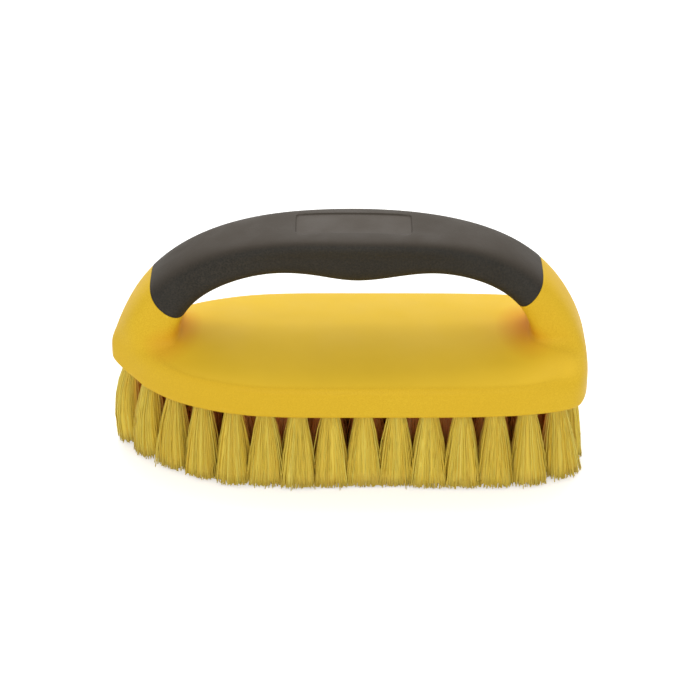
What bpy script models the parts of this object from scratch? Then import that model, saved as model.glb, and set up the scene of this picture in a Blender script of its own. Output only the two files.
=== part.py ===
"""Hand scrub brush with an arched handle, a soft grip and tufted bristles.

Metres, +Z up. The brush stands on its bristle tips at z = 0, its long side
runs along X with the nose at -X, and it is symmetric about Y = 0.
"""
import math

import bmesh
import bpy
from mathutils import Vector
from mathutils.geometry import tessellate_polygon

# Block, seen from above: a pointed nose and a squarer heel
BLOCK_LENGTH = 0.1525
BLOCK_WIDTH = 0.0638
WIDEST_X = -0.010
NOSE_POWERS = (2.7, 1.1)
HEEL_POWERS = (5.3, 5.3)
NOSE_STATIONS = (0.011, 0.020, 0.031, 0.049)
HEEL_STATIONS = (0.049, 0.027, 0.0125, 0.0032)
FOOT_LINE_SHARES = (0.62, 0.88, 0.92, 0.92, 0.92, 0.92, 0.92, 0.95, 0.85)

# Tuft plate let into the underside of the block
BRISTLE_TRIM = 0.0250
RIM_WALL = 0.0021
PLATE_RECESS = 0.0012
PLATE_THICKNESS = 0.0085
PLATE_POINTS = 64
HOLE_FLOOR = 0.0020
HOLE_RADIUS = 0.0026
FIT_GAP = 0.0003

# Block, seen from the end
ROOF_WALL = 0.0021
CROWN_RISE = 0.0046
EDGE_CREASE = 0.38
RIM_CREASE = 0.40
SKIRT_HEIGHT = PLATE_RECESS + PLATE_THICKNESS + ROOF_WALL
SKIRT_BULGE = 0.45

# Handle: centre line of the arch, and its section
NOSE_SETBACK = 0.0103
HEEL_SETBACK = 0.0088
FINGER_ROOM = 0.0309
ARCH_NOSE_POWER = 2.71
ARCH_HEEL_POWER = 2.96
NOSE_SIDE_THICKNESS = 0.0133
HEEL_SIDE_THICKNESS = 0.0111
HANDLE_WIDTH = 0.0214
NOSE_FOOT_THICKNESS = 0.0183
HEEL_FOOT_THICKNESS = 0.0155
FOOT_WIDTH = 0.0245
FOOT_TAPER = 0.0120
NOSE_FILLET = 0.0055
HEEL_FILLET = 0.0025
PALM_SWELL = 0.0058
PALM_WIDENING = 0.0030
PALM_SWELL_REACH = 0.0310
PALM_SWELL_X = 0.0035
HANDLE_RINGS = 13
FIRST_RING_RISE = 0.0085
PALM_CORNER = 1.12
FOOT_CORNER = 0.95
PALM_CORNER_REACH = 0.0360
FINGER_CORNER = 0.98
ARCH_HEIGHT = SKIRT_HEIGHT + CROWN_RISE + FINGER_ROOM

# Soft grip moulded over the arch; its ends lie at angles up from the nose and the heel
GRIP_WALL = 0.0030
GRIP_NOSE_ANGLE = 35.0
NOSE_TONGUE_DROP = 0.0115
NOSE_TONGUE_REACH = 0.0101
NOSE_TONGUE_RISE = 0.0105
GRIP_HEEL_ANGLE = 38.3
HEEL_TONGUE_DROP = 0.0102
HEEL_TONGUE_REACH = 0.0085
HEEL_TONGUE_RISE = 0.0130
TONGUE_POWER = 1.7
TONGUE_STEPS = 8

# Tufts: two rows follow the outline, and a straight one runs down the middle
ROW_EDGE_MARGIN = 0.0014
OUTER_INSET = RIM_WALL + FIT_GAP + HOLE_RADIUS + ROW_EDGE_MARGIN
ROW_STEP = 0.0126
OUTER_COUNT = 32
MIDDLE_COUNT = 19
INNER_COUNT = 6
INNER_NOSE_INSET = 0.0462
INNER_HEEL_INSET = 0.0322
OUTER_END_LEAN = 0.0005
OUTER_SIDE_LEAN = 0.0030
MIDDLE_LEAN = 0.0012
TIP_SPREAD = 0.0056
STRANDS_AROUND = 6
STRAND_TIP_RADIUS = 0.00105
STRAND_GAP = 0.0001

# Sides and steps of the faceted surfaces
SMOOTHING_STEPS = 2
HOLE_SIDES = 8
STRAND_SIDES = 3
OUTLINE_STEPS = 360
ANGLE_STEP = 0.0001

SOLID_YELLOW = (0.80, 0.52, 0.045, 1.0)
SOFT_CHARCOAL = (0.060, 0.056, 0.048, 1.0)
FILAMENT_YELLOW = (0.72, 0.55, 0.10, 1.0)


def clear_scene():
    """Remove every object of the open scene."""
    for old in list(bpy.data.objects):
        bpy.data.objects.remove(old, do_unlink=True)


def make_material(name, colour, roughness, metallic=0.0):
    """A plain Principled material."""
    material = bpy.data.materials.new(name)
    material.use_nodes = True
    shader = material.node_tree.nodes["Principled BSDF"]
    shader.inputs["Base Color"].default_value = colour
    shader.inputs["Roughness"].default_value = roughness
    shader.inputs["Metallic"].default_value = metallic
    return material


def add_object(name, bm, material=None):
    """Turn a bmesh into a named, smooth-shaded object."""
    bmesh.ops.recalc_face_normals(bm, faces=bm.faces)
    mesh = bpy.data.meshes.new(name)
    bm.to_mesh(mesh)
    bm.free()
    mesh.shade_smooth()
    if material is not None:
        mesh.materials.append(material)
    obj = bpy.data.objects.new(name, mesh)
    bpy.context.scene.collection.objects.link(obj)
    return obj


def make_cutter(obj):
    """Keep a helper solid out of the finished model."""
    obj.hide_render = True
    obj.display_type = 'WIRE'
    return obj


def add_subdivision(obj, levels):
    """Round a cage with the same levels in the viewport and the render."""
    modifier = obj.modifiers.new("rounding", 'SUBSURF')
    modifier.levels = levels
    modifier.render_levels = levels


def add_boolean(obj, operation, cutter):
    """Cut, join or intersect with another solid."""
    modifier = obj.modifiers.new(operation.lower() + "_" + cutter.name, 'BOOLEAN')
    modifier.operation = operation
    modifier.object = cutter


def half_width_at(x):
    """Half width of the block's outline at x."""
    side = -1 if x < WIDEST_X else 1
    reach = BLOCK_LENGTH / 2 - side * WIDEST_X
    along, across = NOSE_POWERS if side < 0 else HEEL_POWERS
    share = min(abs(x - WIDEST_X) / reach, 1.0)
    return BLOCK_WIDTH / 2 * (1 - share ** along) ** (1 / across)


def end_x_at(y, side):
    """Where the outline's nose (side -1) or heel (side +1) crosses y."""
    reach = BLOCK_LENGTH / 2 - side * WIDEST_X
    along, across = NOSE_POWERS if side < 0 else HEEL_POWERS
    share = min(abs(y) / (BLOCK_WIDTH / 2), 1.0)
    return WIDEST_X + side * reach * (1 - share ** across) ** (1 / along)


def outline_point(turn, inset):
    """Point of the drawn-in outline for a full turn of 0 to 1, starting at the heel."""
    angle = 2 * math.pi * turn
    side = 1 if math.cos(angle) >= 0 else -1
    reach = BLOCK_LENGTH / 2 - side * WIDEST_X - inset
    along, across = NOSE_POWERS if side < 0 else HEEL_POWERS
    x = WIDEST_X + side * reach * abs(math.cos(angle)) ** (2 / along)
    y = (BLOCK_WIDTH / 2 - inset) * abs(math.sin(angle)) ** (2 / across)
    return Vector((x, math.copysign(y, math.sin(angle))))


def spread_evenly(points, count, start=0.0):
    """Walk round a closed line and return evenly spaced points with outward normals."""
    total = len(points)
    lengths = [(points[(i + 1) % total] - points[i]).length for i in range(total)]
    pitch = sum(lengths) / count
    placed = []
    travelled = 0.0
    target = start * pitch
    for i in range(total):
        step = lengths[i]
        ahead = points[(i + 1) % total] - points[i]
        while step > 0 and target <= travelled + step and len(placed) < count:
            spot = points[i] + ahead * ((target - travelled) / step)
            placed.append((spot, Vector((ahead.y, -ahead.x)).normalized()))
            target += pitch
        travelled += step
    return placed


def inset_outline(inset, count, start=0.0):
    """Evenly spaced points on the block's outline, drawn in by an inset."""
    line = [outline_point(i / OUTLINE_STEPS, inset) for i in range(OUTLINE_STEPS)]
    return spread_evenly(line, count, start)


def pass_through(targets, rounds=12):
    """Cage points of a closed loop whose rounded curve passes through the targets."""
    cage = [point.copy() for point in targets]
    count = len(cage)
    for _ in range(rounds):
        limit = [(cage[i - 1] + cage[i] * 4 + cage[(i + 1) % count]) / 6 for i in range(count)]
        cage = [cage[i] + targets[i] - limit[i] for i in range(count)]
    return cage


def block_grid():
    """Plan places of the block's grid: nine stations along X and five lines across."""
    nose_tip = end_x_at(0, -1)
    heel_tip = end_x_at(0, 1)
    middle = (nose_tip + heel_tip) / 2
    rim_x = [nose_tip + step for step in NOSE_STATIONS] + [middle]
    rim_x += [heel_tip - step for step in HEEL_STATIONS]
    foot_half = FOOT_WIDTH / 2
    nose_back = nose_tip + NOSE_FOOT_THICKNESS + NOSE_FILLET
    heel_front = heel_tip - HEEL_FOOT_THICKNESS - HEEL_FILLET
    line_y = [foot_half * share for share in FOOT_LINE_SHARES]
    line_x = [end_x_at(line_y[0], -1), (nose_tip + nose_back) / 2, nose_back,
              (nose_back * 2 + middle) / 3, middle, (heel_front * 2 + middle) / 3, heel_front,
              (heel_tip + heel_front) / 2, end_x_at(line_y[-1], 1)]
    centre_x = [nose_tip, line_x[1]] + line_x[2:-1] + [heel_tip]
    return rim_x, line_x, line_y, centre_x


def crown_height(x, y):
    """Height of the block's top above the rim plane."""
    share = min(abs(y) / max(half_width_at(x), 0.001), 1.0)
    return SKIRT_HEIGHT + CROWN_RISE * (1 - share ** 2)


def arch_point(angle):
    """Centre line of the handle, from the nose (0) to the heel (pi)."""
    toward_nose = math.cos(angle) > 0
    half_span = BLOCK_LENGTH / 2 - (NOSE_SETBACK if toward_nose else HEEL_SETBACK)
    power = ARCH_NOSE_POWER if toward_nose else ARCH_HEEL_POWER
    along = half_span * abs(math.cos(angle)) ** (2 / power)
    rise = ARCH_HEIGHT * abs(math.sin(angle)) ** (2 / power)
    return Vector((-along if toward_nose else along, rise))


def arch_normal(angle):
    """Outward direction of the arch, square to its centre line."""
    ahead = arch_point(angle + ANGLE_STEP) - arch_point(angle - ANGLE_STEP)
    return Vector((-ahead.y, ahead.x)).normalized()


def section_size(centre):
    """Thickness and width of the handle at a place on its centre line."""
    foot = math.exp(-max(centre.y - SKIRT_HEIGHT - FIRST_RING_RISE, 0) / FOOT_TAPER)
    heelward = 0.5 + centre.x / BLOCK_LENGTH
    grasp = NOSE_SIDE_THICKNESS + (HEEL_SIDE_THICKNESS - NOSE_SIDE_THICKNESS) * heelward
    base = NOSE_FOOT_THICKNESS + (HEEL_FOOT_THICKNESS - NOSE_FOOT_THICKNESS) * heelward
    return grasp + (base - grasp) * foot, HANDLE_WIDTH + (FOOT_WIDTH - HANDLE_WIDTH) * foot


def arch_stations():
    """Evenly spaced centres and outward normals of the handle's rings."""
    steps = OUTLINE_STEPS
    lowest = SKIRT_HEIGHT + FIRST_RING_RISE
    line = [arch_point(math.pi * i / steps) for i in range(steps + 1)]
    line = [point for point in line if point.y >= lowest]
    lengths = [(line[i + 1] - line[i]).length for i in range(len(line) - 1)]
    pitch = sum(lengths) / (HANDLE_RINGS - 1)
    stations = []
    travelled = 0.0
    for i, step in enumerate(lengths):
        while len(stations) * pitch <= travelled + step + 1e-9 and len(stations) < HANDLE_RINGS:
            ahead = line[i + 1] - line[i]
            spot = line[i] + ahead * ((len(stations) * pitch - travelled) / step)
            stations.append((spot, Vector((-ahead.y, ahead.x)).normalized()))
        travelled += step
    return stations


def handle_ring(centre, normal, shrink):
    """Eight cage points of the handle's section, drawn in by shrink."""
    thickness, width = section_size(centre)
    palm = math.exp(-((centre.x - PALM_SWELL_X) / (PALM_SWELL_REACH / 2)) ** 2)
    crisp = math.exp(-(centre.x / PALM_CORNER_REACH) ** 4)
    top_corner = FOOT_CORNER + (PALM_CORNER - FOOT_CORNER) * crisp
    outer = (thickness / 2 - shrink) * 3 / (2 + top_corner)
    inner = (thickness / 2 - shrink + PALM_SWELL * palm) * 3 / (2 + FINGER_CORNER)
    side = (width / 2 - shrink + PALM_WIDENING / 2 * palm) * 6 / (4 + top_corner + FINGER_CORNER)
    high_side = side * top_corner
    low_side = side * FINGER_CORNER
    places = [(outer, 0), (outer * top_corner, high_side), (0, side),
              (-inner * FINGER_CORNER, low_side), (-inner, 0), (-inner * FINGER_CORNER, -low_side),
              (0, -side), (outer * top_corner, -high_side)]
    ring = []
    for out, across in places:
        spot = centre + normal * out
        ring.append(Vector((spot.x, across, BRISTLE_TRIM + spot.y)))
    return ring


def bridge_rings(bm, first, second):
    """Join two rings of eight points with quads."""
    count = len(first)
    for k in range(count):
        bm.faces.new((first[k], first[(k + 1) % count], second[(k + 1) % count], second[k]))


def body_cage():
    """Cage of the one-piece moulding: the block with the arched handle on it."""
    bm = bmesh.new()
    crease = bm.edges.layers.float.new('crease_edge')
    rim_x, line_x, line_y, centre_x = block_grid()
    last = len(rim_x) - 1
    plan = {}
    for i in range(last + 1):
        plan[i, 0] = Vector((rim_x[i], -half_width_at(rim_x[i])))
        plan[i, 4] = Vector((rim_x[i], half_width_at(rim_x[i])))
        plan[i, 1] = Vector((line_x[i], -line_y[i]))
        plan[i, 3] = Vector((line_x[i], line_y[i]))
        plan[i, 2] = Vector((centre_x[i], 0))
    loop = [(i, 0) for i in range(last + 1)] + [(last, j) for j in (1, 2, 3)]
    loop += [(i, 4) for i in range(last, -1, -1)] + [(0, j) for j in (3, 2, 1)]
    rounded = pass_through([plan[key] for key in loop])

    grid = {}
    for key, spot in zip(loop, rounded):
        grid[key] = bm.verts.new((spot.x, spot.y, BRISTLE_TRIM + SKIRT_HEIGHT))
    for i in range(last + 1):
        for j in (1, 2, 3):
            inside_foot = j == 2 and i in (1, last - 1)
            if (i, j) in grid or inside_foot:
                continue
            spot = plan[i, j]
            height = crown_height(spot.x, spot.y)
            grid[i, j] = bm.verts.new((spot.x, spot.y, BRISTLE_TRIM + height))
    for i in range(last):
        for j in range(4):
            if j in (1, 2) and i in (0, 1, last - 2, last - 1):
                continue
            bm.faces.new((grid[i, j], grid[i + 1, j], grid[i + 1, j + 1], grid[i, j + 1]))

    top = [grid[key] for key in loop]
    half_way = [bm.verts.new((p.x, p.y, BRISTLE_TRIM + SKIRT_HEIGHT * SKIRT_BULGE)) for p in rounded]
    bottom = [bm.verts.new((p.x, p.y, BRISTLE_TRIM)) for p in rounded]
    bridge_rings(bm, top, half_way)
    bridge_rings(bm, half_way, bottom)
    for i in range(1, last - 1):
        near = (bottom[i], bottom[i + 1])
        far = (bottom[2 * last + 3 - i], bottom[2 * last + 4 - i])
        bm.faces.new((near[0], near[1], far[0], far[1]))
    near_nose = [bottom[1], bottom[0]] + [bottom[-k] for k in (1, 2, 3, 4)] + [bottom[2 * last + 3]]
    bm.faces.new(near_nose)
    bm.faces.new([bottom[k] for k in range(last - 1, last + 6)])

    for k, key in enumerate(loop):
        after = (k + 1) % len(loop)
        bm.edges.get((bottom[k], bottom[after]))[crease] = RIM_CREASE
        beside_foot = min(key[0], loop[after][0]) < 1 or max(key[0], loop[after][0]) > last - 1
        if not beside_foot:
            bm.edges.get((top[k], top[after]))[crease] = EDGE_CREASE

    nose_foot = [grid[key] for key in ((0, 2), (0, 3), (1, 3), (2, 3), (2, 2), (2, 1), (1, 1), (0, 1))]
    heel_foot = [grid[key] for key in ((last, 2), (last, 3), (last - 1, 3), (last - 2, 3),
                                       (last - 2, 2), (last - 2, 1), (last - 1, 1), (last, 1))]
    rings = [[bm.verts.new(p) for p in handle_ring(c, n, 0.0)] for c, n in arch_stations()]
    bridge_rings(bm, nose_foot, rings[0])
    for first, second in zip(rings, rings[1:]):
        bridge_rings(bm, first, second)
    bridge_rings(bm, rings[-1], heel_foot)
    return bm


def core_cage(shrink):
    """Cage of the slimmer core that the grip is moulded round."""
    bm = bmesh.new()
    rings = [[bm.verts.new(p) for p in handle_ring(c, n, shrink)] for c, n in arch_stations()]
    for first, second in zip(rings, rings[1:]):
        bridge_rings(bm, first, second)
    bm.faces.new(rings[0])
    bm.faces.new(rings[-1])
    return bm


def prism(outline, low, high):
    """Closed prism over a list of plan points, between two heights."""
    bm = bmesh.new()
    bottom = [bm.verts.new((p.x, p.y, low)) for p in outline]
    top = [bm.verts.new((p.x, p.y, high)) for p in outline]
    bridge_rings(bm, bottom, top)
    bm.faces.new(bottom)
    bm.faces.new(top)
    return bm


def grip_end(angle, drop, reach, rise, grow):
    """Side view of one end of the grip: a rounded tongue that points down the arch."""
    centre = arch_point(angle)
    outer = centre + arch_normal(angle) * section_size(centre)[0] / 2
    outward = math.copysign(1, outer.x)
    end_x = outer.x + outward * grow
    tongue_z = outer.y - drop - grow
    arc = []
    for i in range(TONGUE_STEPS + 1):
        turn = math.pi / 2 * i / TONGUE_STEPS
        inward = reach * (1 - abs(math.cos(turn)) ** (2 / TONGUE_POWER))
        arc.append(Vector((end_x - outward * inward,
                           tongue_z + rise * (1 - math.sin(turn) ** (2 / TONGUE_POWER)))))
    above = Vector((end_x, ARCH_HEIGHT + NOSE_SIDE_THICKNESS))
    in_gap = Vector((arc[-1].x - outward * reach, SKIRT_HEIGHT + CROWN_RISE + FINGER_ROOM / 4))
    return [above] + arc + [in_gap]


def grip_region(grow):
    """Side view of the stretch that the grip covers, pushed through the full width."""
    nose = grip_end(math.radians(GRIP_NOSE_ANGLE), NOSE_TONGUE_DROP,
                    NOSE_TONGUE_REACH, NOSE_TONGUE_RISE, grow)
    heel = grip_end(math.radians(180 - GRIP_HEEL_ANGLE), HEEL_TONGUE_DROP,
                    HEEL_TONGUE_REACH, HEEL_TONGUE_RISE, grow)
    outline = nose + heel[::-1]
    bm = bmesh.new()
    sides = []
    for y in (-BLOCK_WIDTH, BLOCK_WIDTH):
        sides.append([bm.verts.new((p.x, y, BRISTLE_TRIM + p.y)) for p in outline])
    bridge_rings(bm, sides[0], sides[1])
    bm.faces.new(sides[0])
    bm.faces.new(sides[1])
    return bm


def tuft_places():
    """Name, root and tip centre of every tuft."""
    places = []
    rows = (("outer", OUTER_INSET, OUTER_COUNT, OUTER_END_LEAN, OUTER_SIDE_LEAN, 0.0),
            ("middle", OUTER_INSET + ROW_STEP, MIDDLE_COUNT, MIDDLE_LEAN, MIDDLE_LEAN, 0.5))
    for name, inset, count, end_lean, side_lean, start in rows:
        for i, (spot, normal) in enumerate(inset_outline(inset, count, start)):
            lean = Vector((normal.x * end_lean, normal.y * side_lean))
            places.append((f"tuft_{name}_{i + 1:02d}", spot, spot + lean))
    first_x = INNER_NOSE_INSET - BLOCK_LENGTH / 2
    last_x = BLOCK_LENGTH / 2 - INNER_HEEL_INSET
    for i in range(INNER_COUNT):
        spot = Vector((first_x + (last_x - first_x) * i / (INNER_COUNT - 1), 0))
        places.append((f"tuft_inner_{i + 1:02d}", spot, spot.copy()))
    return places


def tuft_room(tip, tips):
    """How far a tuft's tips may spread before they meet those of the nearest tuft."""
    nearest = min((tip - other).length for other in tips if other is not tip)
    return min(nearest / 2, TIP_SPREAD)


def circle(centre, radius, sides, turn=0.0):
    """Points of a regular polygon."""
    angles = [2 * math.pi * i / sides + turn for i in range(sides)]
    return [centre + Vector((math.cos(a), math.sin(a))) * radius for a in angles]


def strand_root_radius(apothem):
    """Largest strand that fits the plug with its neighbours and the middle strand."""
    share = math.sin(math.pi / STRANDS_AROUND)
    beside_middle = (apothem - STRAND_GAP * 2) / 3
    beside_next = ((apothem - STRAND_GAP) * share - STRAND_GAP / 2) / (1 + share)
    return min(beside_middle, beside_next)


def tuft_bmesh(root, tip, room):
    """One tuft: a root plug with strands that flare out to a flat trim."""
    face_z = BRISTLE_TRIM + PLATE_RECESS
    plug_top = face_z + PLATE_THICKNESS - HOLE_FLOOR - FIT_GAP
    plug_radius = HOLE_RADIUS - FIT_GAP
    apothem = plug_radius * math.cos(math.pi / HOLE_SIDES)
    root_radius = strand_root_radius(apothem)
    root_ring = apothem - root_radius - STRAND_GAP
    tip_ring = room - STRAND_TIP_RADIUS - STRAND_GAP
    bm = bmesh.new()
    rim = circle(root, plug_radius, HOLE_SIDES)
    loops = [rim]
    tips = []
    for k in range(STRANDS_AROUND + 1):
        turn = 2 * math.pi * k / STRANDS_AROUND
        aim = Vector((math.cos(turn), math.sin(turn))) if k < STRANDS_AROUND else Vector((0, 0))
        loops.append(circle(root + aim * root_ring, root_radius, STRAND_SIDES, turn))
        tips.append(circle(tip + aim * tip_ring, STRAND_TIP_RADIUS, STRAND_SIDES, turn))
    face_loops = [[bm.verts.new((p.x, p.y, face_z)) for p in loop] for loop in loops]
    face_verts = [vert for loop in face_loops for vert in loop]
    for triangle in tessellate_polygon([[vert.co for vert in loop] for loop in face_loops]):
        bm.faces.new([face_verts[i] for i in triangle])
    for base, ends in zip(face_loops[1:], tips):
        cap = [bm.verts.new((p.x, p.y, 0)) for p in ends]
        bridge_rings(bm, base, cap)
        bm.faces.new(cap)
    top = [bm.verts.new((p.x, p.y, plug_top)) for p in rim]
    bridge_rings(bm, face_loops[0], top)
    bm.faces.new(top)
    return bm


def plate_holes():
    """Blind holes for the tufts, as one cutter of separate pegs."""
    bm = bmesh.new()
    face_z = BRISTLE_TRIM + PLATE_RECESS
    for _, root, _ in tuft_places():
        rim = circle(root, HOLE_RADIUS, HOLE_SIDES)
        low = [bm.verts.new((p.x, p.y, face_z - PLATE_RECESS)) for p in rim]
        high = [bm.verts.new((p.x, p.y, face_z + PLATE_THICKNESS - HOLE_FLOOR)) for p in rim]
        bridge_rings(bm, low, high)
        bm.faces.new(low)
        bm.faces.new(high)
    return bm


def build():
    """Model every piece of the brush."""
    clear_scene()
    yellow = make_material("moulded_yellow", SOLID_YELLOW, 0.38)
    charcoal = make_material("soft_charcoal", SOFT_CHARCOAL, 0.72)
    filament = make_material("yellow_filament", FILAMENT_YELLOW, 0.45)

    region = make_cutter(add_object("grip_region", grip_region(0.0)))
    wider_region = make_cutter(add_object("grip_region_clear", grip_region(FIT_GAP)))
    bore = make_cutter(add_object("grip_bore", core_cage(GRIP_WALL)))
    core = make_cutter(add_object("handle_core", core_cage(GRIP_WALL + FIT_GAP)))
    for helper in (bore, core):
        add_subdivision(helper, SMOOTHING_STEPS - 1)

    seat_z = BRISTLE_TRIM + PLATE_RECESS + PLATE_THICKNESS
    pocket_rim = [spot for spot, _ in inset_outline(RIM_WALL, PLATE_POINTS)]
    plate_rim = [spot for spot, _ in inset_outline(RIM_WALL + FIT_GAP, PLATE_POINTS)]
    pocket = make_cutter(add_object(
        "plate_pocket", prism(pocket_rim, BRISTLE_TRIM - PLATE_RECESS, seat_z + FIT_GAP)))

    body = add_object("body_shell", body_cage(), yellow)
    add_subdivision(body, SMOOTHING_STEPS)
    add_boolean(body, 'DIFFERENCE', wider_region)
    add_boolean(body, 'UNION', core)
    add_boolean(body, 'DIFFERENCE', pocket)

    grip = add_object("grip", body_cage(), charcoal)
    add_subdivision(grip, SMOOTHING_STEPS)
    add_boolean(grip, 'INTERSECT', region)
    add_boolean(grip, 'DIFFERENCE', bore)

    pegs = make_cutter(add_object("tuft_holes", plate_holes()))
    plate = add_object("tuft_plate", prism(plate_rim, BRISTLE_TRIM + PLATE_RECESS, seat_z), yellow)
    add_boolean(plate, 'DIFFERENCE', pegs)

    places = tuft_places()
    tips = [tip for _, _, tip in places]
    for name, root, tip in places:
        add_object(name, tuft_bmesh(root, tip, tuft_room(tip, tips)), filament)


build()
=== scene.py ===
"""Looks of a hand scrub brush: a yellow moulding, a soft charcoal grip and tufts of crimped filament.

Metres, +Z up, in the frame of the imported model. The nose is at -X and the brush
stands on its bristle tips at z = 0.
"""
import math
from collections import namedtuple

import bmesh
import bpy
import numpy as np
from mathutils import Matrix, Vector


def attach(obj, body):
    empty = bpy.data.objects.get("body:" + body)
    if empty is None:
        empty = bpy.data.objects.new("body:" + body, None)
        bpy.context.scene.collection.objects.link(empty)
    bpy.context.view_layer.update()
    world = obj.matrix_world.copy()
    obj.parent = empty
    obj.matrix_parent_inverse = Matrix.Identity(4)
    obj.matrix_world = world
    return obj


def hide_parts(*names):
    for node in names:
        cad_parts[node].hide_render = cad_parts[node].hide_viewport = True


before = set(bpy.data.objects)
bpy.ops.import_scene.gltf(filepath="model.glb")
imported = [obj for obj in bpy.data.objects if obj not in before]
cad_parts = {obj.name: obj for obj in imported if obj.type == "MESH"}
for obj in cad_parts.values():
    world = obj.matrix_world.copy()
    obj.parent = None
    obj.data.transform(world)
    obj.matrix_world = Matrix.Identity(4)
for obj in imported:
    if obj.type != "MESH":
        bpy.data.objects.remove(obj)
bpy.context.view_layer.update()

# Camera and studio
SENSOR_WIDTH = 36.0
CAMERA_LENS = 119.6
CAMERA_ELEVATION = 30.0
CAMERA_DISTANCE = 0.75
CAMERA_AIM = (0.0004, 0.0, 0.0324)
FLOOR_SIZE = 6.0
FLOOR_LIFT = 0.52
AMBIENT_LEVEL = 0.69
BACKGROUND_LEVEL = 1.0

# Softboxes: level, size, distance, and degrees that they stand back from overhead
SOFTBOXES = {"key_softbox": (0.52, 0.85, 1.10, 37.0), "fill_softbox": (0.32, 0.90, 1.20, -86.0)}

# Block, seen from above: a pointed nose and a squarer heel
BLOCK_LENGTH = 0.1525
BLOCK_WIDTH = 0.0638
WIDEST_X = -0.010
NOSE_POWERS = (2.7, 1.1)
HEEL_POWERS = (5.3, 5.3)
NOSE_STATIONS = (0.011, 0.020, 0.031, 0.049)
HEEL_STATIONS = (0.049, 0.027, 0.0125, 0.0032)
FOOT_LINE_SHARES = (0.62, 0.88, 0.92, 0.92, 0.92, 0.92, 0.92, 0.95, 0.85)

# Tuft plate let into the underside of the block
BRISTLE_TRIM = 0.0250
RIM_WALL = 0.0021
PLATE_RECESS = 0.0012
PLATE_FACE_Z = BRISTLE_TRIM + PLATE_RECESS
PLATE_THICKNESS = 0.0085
HOLE_FLOOR = 0.0020
HOLE_RADIUS = 0.0026
HOLE_CHAMFER = 0.0003
FIT_GAP = 0.0003
PLATE_POINTS = 240
HOLE_SIDES = 24

# Block, seen from the end
ROOF_WALL = 0.0021
CROWN_RISE = 0.0046
EDGE_CREASE = 0.38
RIM_CREASE = 0.40
SKIRT_HEIGHT = PLATE_RECESS + PLATE_THICKNESS + ROOF_WALL
SKIRT_BULGE = 0.45
NOSE_LIFT = 0.0050
NOSE_LIFT_REACH = 0.0220
NOSE_LIFT_HEIGHT = 0.0160

# Handle: setback and power of the arch at the nose and at the heel, and its section
NOSE_ARCH = (0.0103, 2.71)
HEEL_ARCH = (0.0088, 2.96)
FINGER_ROOM = 0.0309
NOSE_SIDE_THICKNESS = 0.0133
HEEL_SIDE_THICKNESS = 0.0111
HANDLE_WIDTH = 0.0214
NOSE_FOOT_THICKNESS = 0.0183
HEEL_FOOT_THICKNESS = 0.0155
FOOT_WIDTH = 0.0245
FOOT_TAPER = 0.0120
NOSE_FILLET = 0.0055
HEEL_FILLET = 0.0025
PALM_SWELL = 0.0058
PALM_WIDENING = 0.0022
PALM_SWELL_REACH = 0.0310
PALM_SWELL_X = 0.0035
HANDLE_RINGS = 13
RING_POINTS = 8
FIRST_RING_RISE = 0.0085
PALM_CORNER_RISE = 0.88
PALM_CORNER_SPREAD = 1.36
FOOT_CORNER = 0.95
PALM_CORNER_REACH = 0.0360
FINGER_CORNER = 0.98
ARCH_HEIGHT = SKIRT_HEIGHT + CROWN_RISE + FINGER_ROOM

# Painted shade: a deeper orange in the inner corner of each foot, where that corner lies in shade
FOOT_SHADE_PLACE = (0.0572, 0.0, 0.0405)
FOOT_SHADE_REACH = (0.0105, 0.0190, 0.0095)
FOOT_SHADE_COLOUR = (0.76, 0.27, 0.016)
FOOT_SHADE_SHARE = 0.85

# Tongues of the grip, nose and heel: degrees round the arch, drop, reach and rise
GRIP_TONGUES = ((35.0, 0.0115, 0.0101, 0.0105), (180 - 38.3, 0.0102, 0.0085, 0.0130))

# Soft grip moulded over the arch
GRIP_WALL = 0.0030
TONGUE_POWER = 1.7
GRIP_PROUD = 0.00008
GRIP_LIP = 0.00035
LIP_STEPS = 5
PARTING_GAP = 0.00003
PLAQUE_NOSE_X = -0.0165
PLAQUE_HEEL_X = 0.0197
PLAQUE_WIDTH = 0.0134
PLAQUE_DEPTH = 0.00055
PLAQUE_EDGE = 0.0006
PLAQUE_CORNER = 0.0016
PLAQUE_MARGIN = 0.015
PLAQUE_HALO = 0.8
PLAQUE_BAND = 1.6
PLAQUE_EDGE_STEPS = 5
GRIP_PITCH = 0.0010
PLAQUE_PITCH = 0.00014
GRIP_TURN_STEPS = 12

# Tufts: two rows follow the outline, and a straight one runs down the middle
ROW_EDGE_MARGIN = 0.0014
OUTER_INSET = RIM_WALL + FIT_GAP + HOLE_RADIUS + ROW_EDGE_MARGIN
ROW_STEP = 0.0126
OUTER_COUNT = 32
MIDDLE_COUNT = 19
INNER_COUNT = 6
INNER_NOSE_INSET = 0.0462
INNER_HEEL_INSET = 0.0322
OUTER_END_LEAN = 0.0005
OUTER_SIDE_LEAN = 0.0030
MIDDLE_LEAN = 0.0012
TIP_SPREAD = 0.0063
NOSE_TIP_DRAW = 0.0014
FIELD_SPREAD = 0.0076
TIP_SQUARENESS = 3.2
HEEL_CORNER_LEAN = 0.0040
HEEL_LEAN_REACH = 0.0120

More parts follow.
